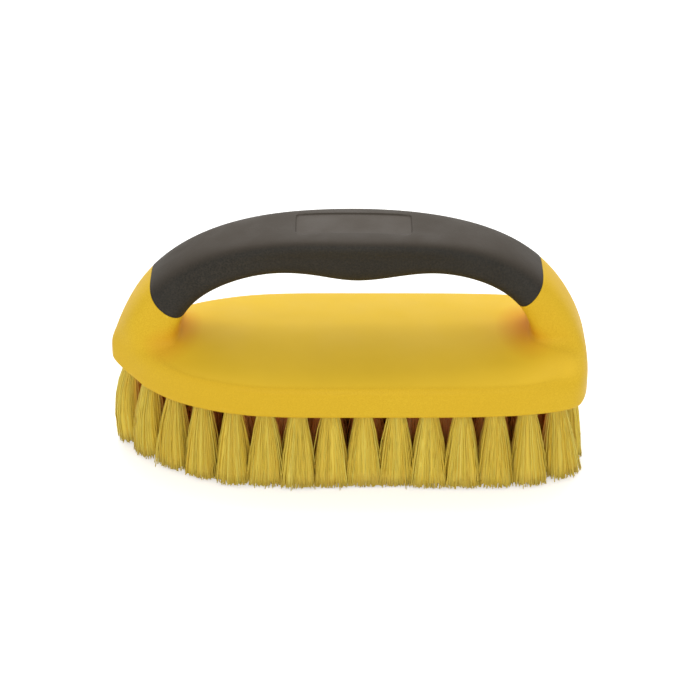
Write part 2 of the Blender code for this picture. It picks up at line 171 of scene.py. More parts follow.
# Filaments of a tuft
RIM_FILAMENTS = 260
FIELD_FILAMENTS = 170
FILAMENT_RADIUS = 0.00018
FILAMENT_SIDES = 3
FILAMENT_STEPS = 8
FILAMENT_CROWDING = 0.42
HEART_RIDGES = 56
HEART_REACH = 0.90
HEART_GROOVE = 0.035
HEART_UNEVEN = 0.018
HEART_END = 0.94
HEART_RAGGED = 0.03
HEART_STEPS = 8
HEART_HOLLOW = 0.0012
HOLE_DEPTH_SHOWN = 0.0030
HOLE_SHARE = -HOLE_DEPTH_SHOWN / PLATE_FACE_Z
LOOSENING = 6
GOLDEN_TURN = math.pi * (3 - math.sqrt(5))
FLARE = 1.0
FIELD_FLARE = 1.5
ROOT_BULGE = 0.0003
NOSE_BULGE = 0.0025
NOSE_BULGE_REACH = 0.020
NOSE_BULGE_FADE = 0.6
CRIMP = 0.00010
CRIMP_RANGE = (0.5, 1.2)
BEND = 0.00022
TIP_SCATTER = 0.00035
CLUMPS = 6
CLUMP_PULL = 0.12
PULL_RANGE = (0.3, 1.0)
RAGGED_TRIM = 0.00045
WORN_TRIM = 0.0009
STRAY_SHARE = 0.03
STRAY_REACH = 0.0022
TRIM_PLAY = 0.0016
TONE_MIDDLE = 0.5
TONE_SPREAD = 0.2
Tuft = namedtuple("Tuft", "name root tip outward limit")

# Steps of the smooth surfaces
ROUNDING_STEPS = 4
CORE_ROUNDING_STEPS = 3
OUTLINE_STEPS = 720
ANGLE_STEP = 0.0001
ARC_STEPS = 40
SHARP_ANGLE = 35.0
HALVINGS = 36
SECTION_STEPS = 400
LENGTH_STEPS = 900
END_ROWS = 60
INNER_ROW_STEP = 6
EASED_ROWS = 4
FAIRING_ROUNDS = 12

# Noise in the materials: its span, the finer grain's share and the fade's border
NOISE_SPAN = (0.3, 0.7)
FINE_GRAIN = 0.7
FADE_UNEVEN = 0.012

# Yellow moulding
YELLOW_SKIN = {
    "drift": {"Scale": 26.0, "Stretch": 0.45},
    "grain": {"Scale": 2600.0, "Softness": 0.6},
    "rubbed": {"Start": 0.52, "End": 0.62, "Breakup": 240.0},
    # upward and top: painted light, a paler lemon on faces that look up
    "upward": {"Start": 0.84, "End": 1.0, "Breakup": 90.0},
    "pigment": ((0.80, 0.50, 0.025), (0.84, 0.56, 0.033)),
    "speckle": (0.76, 0.47, 0.022),
    "polish": (0.86, 0.59, 0.05),
    "top": (0.94, 0.615, 0.036),
    "cloud": 70.0,
    "roughness": (0.48, 0.60),
    "smoothing": 0.08,
    "bump": (0.00003, 0.35),
    "ior": 1.49,
    "gloss": 0.14,
}

# Charcoal grip
CHARCOAL_SKIN = {
    "drift": {"Scale": 60.0, "Stretch": 0.6},
    "grain": {"Scale": 1900.0, "Softness": 0.8},
    "rubbed": {"Start": 0.51, "End": 0.60, "Breakup": 320.0},
    # upward and top: a painted sheen, lighter on faces that look up
    "upward": {"Start": 0.35, "End": 0.95, "Breakup": 140.0},
    "pigment": ((0.028, 0.0235, 0.017), (0.037, 0.031, 0.023)),
    "speckle": (0.018, 0.016, 0.012),
    "polish": (0.050, 0.044, 0.035),
    "top": (0.059, 0.047, 0.035),
    "cloud": 110.0,
    "roughness": (0.54, 0.68),
    "smoothing": 0.12,
    "bump": (0.00004, 0.5),
    "ior": 1.5,
    "gloss": 0.24,
}
PLAQUE_COLOUR = (0.084, 0.069, 0.055)
PLAQUE_SHARE = 0.7

# Filaments: darkest, middle and lightest tone, then the cut tips and the painted shade deep in the tuft
FILAMENT_COLOURS = ((0.84, 0.58, 0.055), (0.87, 0.67, 0.085), (0.91, 0.79, 0.16))
CUT_TIP_COLOUR = (0.85, 0.61, 0.17)
CUT_TIP_REACH = 0.0065
CUT_TIP_SHARE = 0.55
DEEP_SHADE_COLOUR = (0.95, 0.38, 0.085)
DEEP_SHADE_HEIGHTS = (0.001, 0.013)
DEEP_SHADE_RANGE = (0.50, 0.90)

# Floor
FLOOR_COLOURS = ((0.84, 0.84, 0.83), (0.86, 0.86, 0.85))


def feed(tree, sockets, values):
    """Give sockets their values: sockets, numbers, or colours filled up with 1."""
    for key, value in values.items():
        socket = sockets[key]
        if isinstance(value, bpy.types.NodeSocket):
            tree.links.new(value, socket)
        elif isinstance(value, tuple):
            socket.default_value = (*value, 1.0)[:len(socket.default_value)]
        else:
            socket.default_value = value


def add_node(tree, kind, inputs=None, **properties):
    """Shader node with some properties set and some inputs fed."""
    node = tree.nodes.new("ShaderNode" + kind)
    for key, value in properties.items():
        setattr(node, key, value)
    feed(tree, node.inputs, inputs or {})
    return node


def add_noise(tree, place, scale, detail=2.0):
    """Noise over the object's own place."""
    inputs = {"Vector": place, "Scale": scale, "Detail": detail}
    return add_node(tree, "TexNoise", inputs).outputs["Fac"]


def map_range(tree, value, low, high, to_low=0.0, to_high=1.0):
    """Rescale a value and keep it within the new range."""
    inputs = {"Value": value, "From Min": low, "From Max": high, "To Min": to_low, "To Max": to_high}
    return add_node(tree, "MapRange", inputs).outputs["Result"]


def wander(tree, place, scale, detail, low=0.0, high=1.0):
    """Number that wanders between two ends over a surface."""
    return map_range(tree, add_noise(tree, place, scale, detail), *NOISE_SPAN, low, high)


def combine(tree, operation, first, second):
    """Maths on a socket and a socket or a number."""
    return add_node(tree, "Math", {0: first, 1: second}, operation=operation).outputs["Value"]


def mix_colours(tree, share, first, second):
    """Mix two colours, each a socket or a tuple, by a socket."""
    inputs = {"Factor": share, 6: first, 7: second}
    return add_node(tree, "Mix", inputs, data_type='RGBA').outputs[2]


def point_number(tree, name):
    """Number that a mesh carries for each of its points."""
    return add_node(tree, "Attribute", attribute_name=name).outputs["Fac"]


def new_group(name, inputs, outputs):
    """Empty shader node group with named float inputs and outputs."""
    group = bpy.data.node_groups.new(name, "ShaderNodeTree")
    for way, labels in (('INPUT', inputs), ('OUTPUT', outputs)):
        for label in labels:
            group.interface.new_socket(label, in_out=way, socket_type='NodeSocketFloat')
    entry = group.nodes.new("NodeGroupInput").outputs
    leave = group.nodes.new("NodeGroupOutput").inputs
    return group, entry, leave, add_node(group, "TexCoord").outputs["Object"]


def slow_drift_group():
    """Slow change over a surface, as uneven pigment or flow leaves it."""
    group, entry, leave, place = new_group("slow_drift", ("Scale", "Stretch"), ("Value",))
    along = add_node(group, "CombineXYZ", {"X": entry["Stretch"], "Y": 1.0, "Z": 1.0}).outputs["Vector"]
    squash = add_node(group, "VectorMath", {0: place, 1: along}, operation='MULTIPLY').outputs["Vector"]
    feed(group, leave, {"Value": wander(group, squash, entry["Scale"], 4.0)})
    return group


def moulded_grain_group():
    """Fine spark-eroded grain of a mould: a height, and the same grain as a mask."""
    group, entry, leave, place = new_group("moulded_grain", ("Scale", "Softness"), ("Height", "Mask"))
    inputs = {"Vector": place, "Scale": entry["Scale"], "Smoothness": entry["Softness"]}
    cells = add_node(group, "TexVoronoi", inputs, feature='SMOOTH_F1').outputs["Distance"]
    fine = add_noise(group, place, combine(group, 'MULTIPLY', entry["Scale"], FINE_GRAIN), 3.0)
    height = combine(group, 'ADD', cells, fine)
    feed(group, leave, {"Height": height, "Mask": map_range(group, height, 0.6, 1.3)})
    return group


def rubbed_edge_group():
    """Outer corners that hands and shelves polish, broken up by noise."""
    group, entry, leave, place = new_group("rubbed_edge", ("Start", "End", "Breakup"), ("Mask",))
    corner = add_node(group, "NewGeometry").outputs["Pointiness"]
    corner = map_range(group, corner, entry["Start"], entry["End"])
    broken = map_range(group, add_noise(group, place, entry["Breakup"]), 0.35, 0.65)
    feed(group, leave, {"Mask": combine(group, 'MULTIPLY', corner, broken)})
    return group


def painted_top_light_group():
    """Faces that look up, where painted light pales a surface."""
    group, entry, leave, place = new_group("upward_fade", ("Start", "End", "Breakup"), ("Mask",))
    normal = add_node(group, "NewGeometry").outputs["Normal"]
    tilt = add_node(group, "SeparateXYZ", {"Vector": normal}).outputs["Z"]
    uneven = wander(group, place, entry["Breakup"], 2.0, -FADE_UNEVEN, FADE_UNEVEN)
    facing = combine(group, 'ADD', tilt, uneven)
    feed(group, leave, {"Mask": map_range(group, facing, entry["Start"], entry["End"])})
    return group


def new_material(name):
    """Material, its tree, the inputs of its Principled shader and the object's own place."""
    material = bpy.data.materials.new(name)
    material.use_nodes = True
    tree = material.node_tree
    return material, tree, tree.nodes["Principled BSDF"].inputs, add_node(tree, "TexCoord").outputs["Object"]


def bump_normal(tree, height, distance, strength):
    """Normal that a height gives."""
    inputs = {"Distance": distance, "Strength": strength, "Height": height}
    return add_node(tree, "Bump", inputs).outputs["Normal"]


def moulded_skin(name, groups, skin):
    """Moulded plastic with grain, polished corners and painted light that pales its top; its colour is fed
    later.
    """
    material, tree, shader, place = new_material(name)
    drift, grain, rubbed, upward = [
        add_node(tree, "Group", skin[key], node_tree=group).outputs for key, group in groups.items()]
    colour = mix_colours(tree, drift["Value"], *skin["pigment"])
    colour = mix_colours(tree, grain["Mask"], skin["speckle"], colour)
    colour = mix_colours(tree, rubbed["Mask"], colour, skin["polish"])
    # Painted light: faces that look up take the paler top colour
    colour = mix_colours(tree, upward["Mask"], colour, skin["top"])
    rough = wander(tree, place, skin["cloud"], 5.0, *skin["roughness"])
    smoother = combine(tree, 'MULTIPLY', rubbed["Mask"], skin["smoothing"])
    feed(tree, shader, {
        "Roughness": combine(tree, 'SUBTRACT', rough, smoother),
        "Normal": bump_normal(tree, grain["Height"], *skin["bump"]),
        "IOR": skin["ior"], "Specular IOR Level": skin["gloss"]})
    return material, tree, shader, place, colour


def satin_yellow(groups):
    """Satin polypropylene: warm yellow with a fine grain and faint flow marks."""
    material, tree, shader, place, colour = moulded_skin("satin_yellow", groups, YELLOW_SKIN)
    # Painted shade: the inner corner of each foot turns a deeper orange
    corner = painted_foot_shade_mask(tree, place)
    feed(tree, shader, {"Base Color": mix_colours(tree, corner, colour, FOOT_SHADE_COLOUR)})
    return material


def painted_foot_shade_mask(tree, place):
    """1 in the inner corners of the two feet, where shade is painted as a deeper orange."""
    place = add_node(tree, "VectorMath", {0: place}, operation='ABSOLUTE').outputs["Vector"]
    for operation, value in (('SUBTRACT', FOOT_SHADE_PLACE), ('DIVIDE', FOOT_SHADE_REACH)):
        place = add_node(tree, "VectorMath", {0: place, 1: value}, operation=operation).outputs["Vector"]
    away = add_node(tree, "VectorMath", {0: place}, operation='LENGTH').outputs["Value"]
    return map_range(tree, away, 1.0, 0.0, 0.0, FOOT_SHADE_SHARE)


def soft_charcoal(groups):
    """Soft thermoplastic rubber: nearly black, matt, with polish on its corners."""
    material, tree, shader, _, colour = moulded_skin("soft_charcoal", groups, CHARCOAL_SKIN)
    panel = combine(tree, 'MULTIPLY', point_number(tree, "panel"), PLAQUE_SHARE)
    feed(tree, shader, {"Base Color": mix_colours(tree, panel, colour, PLAQUE_COLOUR)})
    return material


def yellow_filament(drift):
    """Crimped nylon: a tone for each filament, painted shade in amber deep in the tuft and duller at the cut
    tip.
    """
    material, tree, shader, place = new_material("yellow_filament")
    tone = point_number(tree, "tone")
    dark, middle, light = FILAMENT_COLOURS
    colour = mix_colours(tree, map_range(tree, tone, 0.0, 0.6), dark, middle)
    colour = mix_colours(tree, map_range(tree, tone, 0.6, 1.0), colour, light)
    height = add_node(tree, "SeparateXYZ", {"Vector": place}).outputs["Z"]
    cut = map_range(tree, height, 0.0, CUT_TIP_REACH, CUT_TIP_SHARE, 0.0)
    patches = add_node(tree, "Group", {"Scale": 180.0, "Stretch": 1.0}, node_tree=drift).outputs["Value"]
    colour = mix_colours(tree, combine(tree, 'MULTIPLY', cut, patches), colour, CUT_TIP_COLOUR)
    # Painted shade: amber on filaments inside the brush, from just above the tips up to the roots
    rooted = map_range(tree, height, *DEEP_SHADE_HEIGHTS)
    deep_shade = combine(tree, 'MULTIPLY', rooted, map_range(tree, point_number(tree, "depth"), *DEEP_SHADE_RANGE))
    feed(tree, shader, {
        "Base Color": mix_colours(tree, deep_shade, colour, DEEP_SHADE_COLOUR),
        "Roughness": wander(tree, place, 900.0, 2.0, 0.40, 0.55),
        "Normal": bump_normal(tree, add_noise(tree, place, 2400.0), 0.00002, 0.3),
        "IOR": 1.53, "Specular IOR Level": 0.3})
    return material


def pale_floor():
    """Pale studio floor that is white to the camera and keeps the brush's shadow."""
    material, tree, shader, place = new_material("pale_floor")
    mottle = wander(tree, place, 3.0, 3.0)
    feed(tree, shader, {
        "Base Color": mix_colours(tree, mottle, *FLOOR_COLOURS),
        "Roughness": 0.9, "Specular IOR Level": 0.1, "Emission Color": (1.0, 1.0, 1.0),
        "Emission Strength": combine(tree, 'MULTIPLY', seen_ray(tree), FLOOR_LIFT)})
    return material


def seen_ray(tree):
    """1 for rays that show the background: from the camera, in gloss and through glass."""
    ray = add_node(tree, "LightPath").outputs
    direct = combine(tree, 'MAXIMUM', ray["Is Camera Ray"], ray["Is Glossy Ray"])
    return combine(tree, 'MAXIMUM', direct, ray["Is Transmission Ray"])


def set_world():
    """Even soft air that shows as white."""
    world = bpy.data.worlds.new("studio_air")
    world.use_nodes = True
    bpy.context.scene.world = world
    tree = world.node_tree
    light = tree.nodes["Background"]
    feed(tree, light.inputs, {"Color": (1.0, 0.99, 0.97), "Strength": AMBIENT_LEVEL})
    shown = add_node(tree, "Background", {"Color": (1.0, 1.0, 1.0), "Strength": BACKGROUND_LEVEL})
    inputs = {"Fac": seen_ray(tree), 1: light.outputs["Background"], 2: shown.outputs["Background"]}
    choice = add_node(tree, "MixShader", inputs).outputs["Shader"]
    feed(tree, tree.nodes["World Output"].inputs, {"Surface": choice})


def add_object(name, data):
    """Link an object into the scene."""
    obj = bpy.data.objects.new(name, data)
    bpy.context.scene.collection.objects.link(obj)
    return obj


def add_camera():
    """Camera at the photograph's angle, square to the long side."""
    lens = bpy.data.cameras.new("photo_camera")
    lens.sensor_width = SENSOR_WIDTH
    lens.lens = CAMERA_LENS
    camera = add_object("photo_camera", lens)
    tilt = math.radians(CAMERA_ELEVATION)
    camera.location = Vector(CAMERA_AIM) + Vector((0, -math.cos(tilt), math.sin(tilt))) * CAMERA_DISTANCE
    camera.rotation_euler = (math.pi / 2 - tilt, 0, 0)
    bpy.context.scene.camera = camera


def add_softbox(name, level, size, distance, degrees):
    """Square area light that gives a white surface the stated level."""
    light = bpy.data.lights.new(name, 'AREA')
    light.size = size
    light.energy = level * math.pi ** 2 * distance ** 2
    obj = add_object(name, light)
    tilt = math.radians(degrees)
    way = Vector((0, math.sin(tilt), math.cos(tilt)))
    obj.location = Vector(CAMERA_AIM) + way * distance
    obj.rotation_euler = way.to_track_quat('Z', 'Y').to_euler()


def add_studio():
    """Plain floor, white air and softboxes."""
    bm = bmesh.new()
    bmesh.ops.create_grid(bm, x_segments=1, y_segments=1, size=FLOOR_SIZE / 2)
    floor = add_solid("floor", bm)
    floor.data.materials.append(pale_floor())
    set_world()
    for name, values in SOFTBOXES.items():
        add_softbox(name, *values)


def side_shape(side, inset=0.0):
    """Reach and powers of the outline's nose side (-1) or heel side (+1)."""
    along, across = NOSE_POWERS if side < 0 else HEEL_POWERS
    return BLOCK_LENGTH / 2 - side * WIDEST_X - inset, along, across


def half_width_at(x):
    """Half width of the block's outline at x."""
    reach, along, across = side_shape(-1 if x < WIDEST_X else 1)
    share = min(abs(x - WIDEST_X) / reach, 1.0)
    return BLOCK_WIDTH / 2 * (1 - share ** along) ** (1 / across)


def end_x_at(y, side):
    """Where the outline's nose (side -1) or heel (side +1) crosses y."""
    reach, along, across = side_shape(side)
    share = min(abs(y) / (BLOCK_WIDTH / 2), 1.0)
    return WIDEST_X + side * reach * (1 - share ** across) ** (1 / along)


def outline_point(turn, inset):
    """Point of the drawn-in outline for a full turn of 0 to 1, starting at the heel."""
    angle = 2 * math.pi * turn
    side = 1 if math.cos(angle) >= 0 else -1
    reach, along, across = side_shape(side, inset)
    x = WIDEST_X + side * reach * abs(math.cos(angle)) ** (2 / along)
    y = (BLOCK_WIDTH / 2 - inset) * abs(math.sin(angle)) ** (2 / across)
    return Vector((x, math.copysign(y, math.sin(angle))))


def spread_evenly(line, count, gaps, start=0.0, play=0.0):
    """Evenly spaced points on a line and their normals; play lets the last one in."""
    stretches = [after - spot for spot, after in zip(line, line[1:])]
    pitch = sum(ahead.length for ahead in stretches) / gaps
    placed = []
    travelled = 0.0
    target = start * pitch
    for spot, ahead in zip(line, stretches):
        step = ahead.length
        while step > 0 and target <= travelled + step + play and len(placed) < count:
            place = spot + ahead * ((target - travelled) / step)
            placed.append((place, Vector((ahead.y, -ahead.x)).normalized()))
            target += pitch
        travelled += step
    return placed


def inset_outline(inset, count, start=0.0):
    """Evenly spaced points on the drawn-in outline, each with its outward normal."""
    line = [outline_point(i / OUTLINE_STEPS, inset) for i in range(OUTLINE_STEPS)]
    return spread_evenly(line + line[:1], count, count, start)


def pass_through(targets):
    """Cage points of a closed loop whose rounded curve passes through the targets."""
    cage = [point.copy() for point in targets]
    count = len(cage)
    for _ in range(FAIRING_ROUNDS):
        limit = [(cage[i - 1] + cage[i] * 4 + cage[(i + 1) % count]) / 6 for i in range(count)]
        cage = [cage[i] + targets[i] - limit[i] for i in range(count)]
    return cage


def block_grid():
    """Plan places of the block's grid: nine stations along X (i) and five lines across (j)."""
    nose_tip, heel_tip = end_x_at(0, -1), end_x_at(0, 1)
    middle = (nose_tip + heel_tip) / 2
    rim_x = [nose_tip + step for step in NOSE_STATIONS] + [middle]
    rim_x += [heel_tip - step for step in HEEL_STATIONS]
    nose_back = nose_tip + NOSE_FOOT_THICKNESS + NOSE_FILLET
    heel_front = heel_tip - HEEL_FOOT_THICKNESS - HEEL_FILLET
    line_y = [FOOT_WIDTH / 2 * share for share in FOOT_LINE_SHARES]
    line_x = [end_x_at(line_y[0], -1), (nose_tip + nose_back) / 2, nose_back,
              (nose_back * 2 + middle) / 3, middle, (heel_front * 2 + middle) / 3, heel_front,
              (heel_tip + heel_front) / 2, end_x_at(line_y[-1], 1)]
    centre_x = [nose_tip] + line_x[1:-1] + [heel_tip]
    plan = {}
    for i, x in enumerate(rim_x):
        half = half_width_at(x)
        for j, place in enumerate(((x, -half), (line_x[i], -line_y[i]), (centre_x[i], 0),
                                   (line_x[i], line_y[i]), (x, half))):
            plan[i, j] = Vector(place)
    return plan, len(rim_x) - 1


def crown_height(x, y):
    """Height of the block's top above the rim plane."""
    share = min(abs(y) / max(half_width_at(x), 0.001), 1.0)
    return SKIRT_HEIGHT + CROWN_RISE * (1 - share ** 2)


def arch_point(angle):
    """Centre line of the handle, from the nose (0) to the heel (pi)."""
    side, (setback, power) = (-1, NOSE_ARCH) if math.cos(angle) > 0 else (1, HEEL_ARCH)
    along = (BLOCK_LENGTH / 2 - setback) * abs(math.cos(angle)) ** (2 / power)
    return Vector((side * along, ARCH_HEIGHT * abs(math.sin(angle)) ** (2 / power)))


def arch_normal(angle):
    """Outward direction of the arch, square to its centre line."""
    ahead = arch_point(angle + ANGLE_STEP) - arch_point(angle - ANGLE_STEP)
    return Vector((-ahead.y, ahead.x)).normalized()


def section_size(centre):
    """Thickness and width of the handle at a place on its centre line."""
    foot = math.exp(-max(centre.y - SKIRT_HEIGHT - FIRST_RING_RISE, 0) / FOOT_TAPER)
    heelward = 0.5 + centre.x / BLOCK_LENGTH
    grasp = NOSE_SIDE_THICKNESS + (HEEL_SIDE_THICKNESS - NOSE_SIDE_THICKNESS) * heelward
    base = NOSE_FOOT_THICKNESS + (HEEL_FOOT_THICKNESS - NOSE_FOOT_THICKNESS) * heelward
    return grasp + (base - grasp) * foot, HANDLE_WIDTH + (FOOT_WIDTH - HANDLE_WIDTH) * foot


def arch_stations():
    """Evenly spaced centres and outward normals of the handle's rings."""
    line = [arch_point(math.pi * i / OUTLINE_STEPS) for i in range(OUTLINE_STEPS + 1)]
    line = [point for point in line if point.y >= SKIRT_HEIGHT + FIRST_RING_RISE]
    placed = spread_evenly(line, HANDLE_RINGS, HANDLE_RINGS - 1, play=1e-9)
    return [(spot, -inward) for spot, inward in placed]


def handle_ring(centre, normal, shrink):
    """Eight cage points of the handle's section, drawn in by shrink."""
    thickness, width = section_size(centre)
    palm = math.exp(-((centre.x - PALM_SWELL_X) / (PALM_SWELL_REACH / 2)) ** 2)
    crisp = math.exp(-(centre.x / PALM_CORNER_REACH) ** 4)
    corner_rise = FOOT_CORNER + (PALM_CORNER_RISE - FOOT_CORNER) * crisp
    corner_spread = FOOT_CORNER + (PALM_CORNER_SPREAD - FOOT_CORNER) * crisp
    outer = (thickness / 2 - shrink) * 3 / (2 + corner_rise)
    inner = (thickness / 2 - shrink + PALM_SWELL * palm) * 3 / (2 + FINGER_CORNER)
    side = (width / 2 - shrink + PALM_WIDENING / 2 * palm) * 6 / (4 + corner_spread + FINGER_CORNER)
    half = [(outer * corner_rise, side * corner_spread), (0, side),
            (-inner * FINGER_CORNER, side * FINGER_CORNER)]
    places = [(outer, 0)] + half + [(-inner, 0)] + [(out, -across) for out, across in half[::-1]]
    spots = [(centre + normal * out, across) for out, across in places]
    return [Vector((spot.x, across, BRISTLE_TRIM + spot.y)) for spot, across in spots]


def handle_rings(shrink):
    """Cage rings of the whole handle, from the nose to the heel."""
    return [handle_ring(centre, normal, shrink) for centre, normal in arch_stations()]


def bridge_rings(bm, rings):
    """Join each ring of points to the next with quads."""
    for first, second in zip(rings, rings[1:]):
        for k in range(len(first)):
            after = (k + 1) % len(first)
            bm.faces.new((first[k], first[after], second[after], second[k]))


def add_top(bm, plan, loop, rounded, last):
    """Top of the block, open where the handle's feet rise."""
    grid = {}
    for key, spot in zip(loop, rounded):
        grid[key] = bm.verts.new((spot.x, spot.y, BRISTLE_TRIM + SKIRT_HEIGHT))
    for i in range(last + 1):
        for j in (1, 2, 3):
            inside_foot = j == 2 and i in (1, last - 1)
            if (i, j) in grid or inside_foot:
                continue
            spot = plan[i, j]
            height = crown_height(spot.x, spot.y)
            grid[i, j] = bm.verts.new((spot.x, spot.y, BRISTLE_TRIM + height))
    for i in range(last):
        for j in range(4):
            if j in (1, 2) and i in (0, 1, last - 2, last - 1):
                continue
            bm.faces.new((grid[i, j], grid[i + 1, j], grid[i + 1, j + 1], grid[i, j + 1]))
    return grid


def add_skirt(bm, top, rounded, last):
    """Skirt and underside of the block."""
    half_way = [bm.verts.new((p.x, p.y, BRISTLE_TRIM + SKIRT_HEIGHT * SKIRT_BULGE)) for p in rounded]
    bottom = [bm.verts.new((p.x, p.y, BRISTLE_TRIM)) for p in rounded]
    bridge_rings(bm, (top, half_way, bottom))
    far = 2 * last + 3
    for i in range(1, last - 1):
        bm.faces.new((bottom[i], bottom[i + 1], bottom[far - i], bottom[far + 1 - i]))
    bm.faces.new([bottom[1], bottom[0]] + [bottom[-k] for k in (1, 2, 3, 4)] + [bottom[far]])
    bm.faces.new([bottom[k] for k in range(last - 1, last + 6)])
    return bottom


def moulding_cage():
    """Cage of the one-piece moulding, and the rings of its feet and handle."""
    bm = bmesh.new()
    crease = bm.edges.layers.float.new('crease_edge')
    plan, last = block_grid()
    loop = [(i, 0) for i in range(last + 1)] + [(last, j) for j in (1, 2, 3)]
    loop += [(i, 4) for i in range(last, -1, -1)] + [(0, j) for j in (3, 2, 1)]
    rounded = pass_through([plan[key] for key in loop])
    grid = add_top(bm, plan, loop, rounded, last)
    top = [grid[key] for key in loop]
    bottom = add_skirt(bm, top, rounded, last)
    for k, key in enumerate(loop):
        after = (k + 1) % len(loop)
        bm.edges.get((bottom[k], bottom[after]))[crease] = RIM_CREASE
        beside_foot = min(key[0], loop[after][0]) < 1 or max(key[0], loop[after][0]) > last - 1
        if not beside_foot:
            bm.edges.get((top[k], top[after]))[crease] = EDGE_CREASE

    nose_keys = ((0, 2), (0, 3), (1, 3), (2, 3), (2, 2), (2, 1), (1, 1), (0, 1))
    nose_foot = [grid[key] for key in nose_keys]
    heel_foot = [grid[last - i, j] for i, j in nose_keys]
    rings = [nose_foot] + [[bm.verts.new(p) for p in ring] for ring in handle_rings(0.0)] + [heel_foot]
    bridge_rings(bm, rings)
    control = np.array([[tuple(vert.co) for vert in ring] for ring in rings])
    return bm, control


def add_stack(bm, rings):
    """Closed solid from a stack of rings of points."""
    rings = [[bm.verts.new(point) for point in ring] for ring in rings]
    bridge_rings(bm, rings)
    bm.faces.new(rings[0])
    bm.faces.new(rings[-1])
    return bm


def add_solid(name, bm):
    """Smooth object with outward faces from a bmesh."""
    bmesh.ops.recalc_face_normals(bm, faces=bm.faces)
    mesh = bpy.data.meshes.new(name)
    bm.to_mesh(mesh)
    bm.free()
    mesh.shade_smooth()
    return add_object(name, mesh)


def add_rounding(obj, levels):
    """Round a cage with the same levels in the viewport and the render."""
    modifier = obj.modifiers.new("rounding", 'SUBSURF')
    modifier.levels = modifier.render_levels = levels


def add_boolean(obj, operation, name, bm, levels=0):
    """Cut with another solid, or join it: a helper that settle removes again."""
    helper = add_solid(name, bm)
    if levels:
        add_rounding(helper, levels)
    modifier = obj.modifiers.new(name, 'BOOLEAN')
    modifier.operation = operation
    modifier.object = helper


def nose_lift(x):
    """How far the underside rises towards the tip of the nose."""
    from_reach = 1 - (x + BLOCK_LENGTH / 2) / NOSE_LIFT_REACH
    return NOSE_LIFT * np.clip(from_reach, 0, 1) ** 2


def lift_nose(mesh):
    """Raise the underside at the nose, and less with height."""
    places = np.empty(len(mesh.vertices) * 3)
    mesh.vertices.foreach_get("co", places)
    x, z = places[0::3], places[2::3]
    z += nose_lift(x) * np.clip(1 - (z - BRISTLE_TRIM) / NOSE_LIFT_HEIGHT, 0, 1)
    mesh.vertices.foreach_set("co", places)
    mesh.update()


def settle(obj):
    """Apply an object's modifiers, mark sharp edges, remove its helpers and raise its nose."""
    graph = bpy.context.evaluated_depsgraph_get()
    mesh = bpy.data.meshes.new_from_object(obj.evaluated_get(graph))
    helpers = [modifier.object for modifier in obj.modifiers if modifier.type == 'BOOLEAN']
    obj.modifiers.clear()
    obj.data = mesh
    mesh.shade_smooth()
    mesh.set_sharp_from_angle(angle=math.radians(SHARP_ANGLE))
    for helper in helpers:
        bpy.data.objects.remove(helper, do_unlink=True)
    lift_nose(mesh)


def dress(obj, material, node):
    """Give a piece its material in a slot and its body, and hide the CAD node that it stands in for."""
    obj.data.materials.append(material)
    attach(obj, "root")
    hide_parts(node)


def plate_block(inset, low, high):
    """Upright block within the drawn-in outline, between two heights."""
    rim = [spot for spot, _ in inset_outline(inset, PLATE_POINTS)]
    return add_stack(bmesh.new(), [[(p.x, p.y, z) for p in rim] for z in (low, high)])


def grip_ends():
    """Outermost x, lowest height, reach and rise of the grip's two tongues."""
    ends = []
    for degrees, drop, reach, rise in GRIP_TONGUES:
        angle = math.radians(degrees)
        centre = arch_point(angle)
        outer = centre + arch_normal(angle) * section_size(centre)[0] / 2
        ends.append((outer.x, outer.y - drop, reach, rise))
    return ends


def grip_region():
    """Side view of the grip's stretch, pushed through the full width."""
    sides = []
    for end_x, low, reach, rise in grip_ends():
        outward = math.copysign(1, end_x)
        low -= PARTING_GAP
        arc = []
        for i in range(ARC_STEPS + 1):
            turn = math.pi / 2 * i / ARC_STEPS
            inward = reach * (1 - abs(math.cos(turn)) ** (2 / TONGUE_POWER))
            height = low + rise * (1 - math.sin(turn) ** (2 / TONGUE_POWER))
            arc.append(Vector((end_x + outward * (PARTING_GAP - inward), height)))
        above = Vector((end_x + outward * PARTING_GAP, ARCH_HEIGHT + NOSE_SIDE_THICKNESS))
        in_gap = Vector((arc[-1].x - outward * reach, low))
        sides.append([above] + arc + [in_gap])
    outline = sides[0] + sides[1][::-1]
    walls = [[(p.x, y, BRISTLE_TRIM + p.y) for p in outline] for y in (-BLOCK_WIDTH, BLOCK_WIDTH)]
    return add_stack(bmesh.new(), walls)


def build_moulding(yellow):
    """One-piece block and arch, cut back for the grip and pocketed for the tuft plate."""
    cage, control = moulding_cage()
    body = add_solid("moulding", cage)
    add_rounding(body, ROUNDING_STEPS)
    core = add_stack(bmesh.new(), handle_rings(GRIP_WALL + PARTING_GAP))
    seat_z = PLATE_FACE_Z + PLATE_THICKNESS + FIT_GAP
    pocket = plate_block(RIM_WALL, BRISTLE_TRIM - PLATE_RECESS, seat_z)
    add_boolean(body, 'DIFFERENCE', "grip_region", grip_region())
    add_boolean(body, 'UNION', "handle_core", core, CORE_ROUNDING_STEPS)
    add_boolean(body, 'DIFFERENCE', "plate_pocket", pocket)
    settle(body)
    dress(body, yellow, "body_shell")
    return control


def spline_weights(share):
    """Four weights of a uniform cubic spline segment, and their slopes."""
    rest = 1 - share
    weights = np.stack((rest ** 3, 3 * share ** 3 - 6 * share ** 2 + 4,
                        -3 * share ** 3 + 3 * share ** 2 + 3 * share + 1, share ** 3), -1) / 6
    slopes = np.stack((-rest ** 2, 3 * share ** 2 - 4 * share,
                       -3 * share ** 2 + 2 * share + 1, share ** 2), -1) / 2
    return weights, slopes


